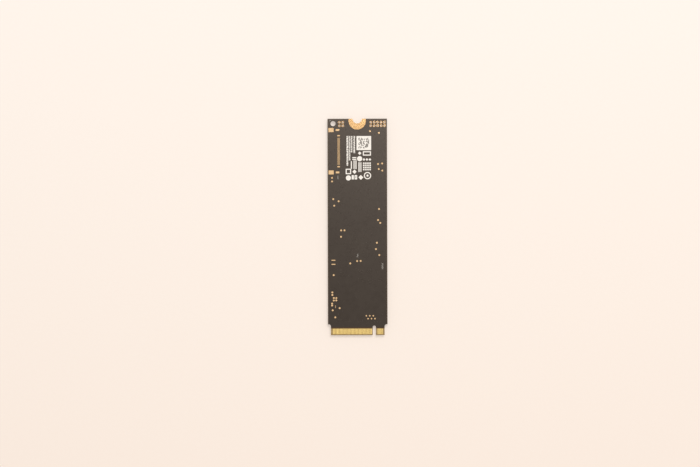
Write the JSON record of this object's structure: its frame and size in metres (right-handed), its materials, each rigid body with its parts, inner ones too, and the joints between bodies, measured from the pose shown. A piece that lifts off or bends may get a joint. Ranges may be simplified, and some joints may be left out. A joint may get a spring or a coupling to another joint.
{
  "type": "nvme ssd",
  "caption": "Bare solid-state drive board for data storage: a long flat module with gold edge contacts, a key slot, a half-round screw notch and its chips on one side.",
  "frame": {"origin": "bottom centre of the whole module, on the surface that the three tall packages rest on", "axes": "+X across the board, +Y along it towards the screw notch, +Z out of the plain back, away from the component side"},
  "size_m": [0.022, 0.08, 0.0022],
  "materials": {
    "black_mask": "satin black solder mask over glass-fibre laminate",
    "gold": "thin gold over nickel, satin",
    "white_ink": "printed white ink, matt",
    "black_mould": "moulded epoxy, fine matt",
    "green_substrate": "laminate edge under green mask",
    "solder": "tin solder and tinned terminals, satin",
    "tan_ceramic": "fired ceramic, satin",
    "black_ceramic": "glazed film on ceramic",
    "grey_ferrite": "pressed metal powder, matt",
    "pale_ceramic": "fired ceramic, matt",
    "steel_lid": "plated steel, satin"
  },
  "bodies": {
    "root": {"circuit_board": "black_mask", "screw_land_back": "gold", "screw_land_front": "gold", "edge_contacts_back": "gold", "edge_contacts_front": "gold", "header_barrels_ten": "gold", "header_barrels_four": "gold", "connector_fine_pads": "gold", "connector_anchor_pads": "gold", "connector_side_pads": "gold", "test_pads": "gold", "staggered_test_pads": "gold", "spare_part_pads": "gold", "printed_panel": "white_ink", "printed_text_lines": "white_ink", "printed_symbols": "white_ink", "print_ticks": "white_ink", "memory_1_mould": "black_mould", "memory_1_substrate": "green_substrate", "memory_1_balls": "solder", "memory_2_mould": "black_mould", "memory_2_substrate": "green_substrate", "memory_2_balls": "solder", "controller_mould": "black_mould", "controller_substrate": "green_substrate", "controller_balls": "solder", "power_manager_body": "black_mould", "power_manager_leads": "solder", "load_switch_body": "black_mould", "load_switch_leads": "solder", "temperature_sensor_body": "black_mould", "temperature_sensor_leads": "solder", "crystal_base": "pale_ceramic", "crystal_lid": "steel_lid", "inductor_cores": "grey_ferrite", "inductor_terminals": "solder", "large_capacitor_bodies": "tan_ceramic", "large_capacitor_terminals": "solder", "small_capacitor_bodies": "tan_ceramic", "small_capacitor_terminals": "solder", "resistor_bodies": "black_ceramic", "resistor_terminals": "solder", "solder_joints": "solder"}
  },
  "joints": []
}
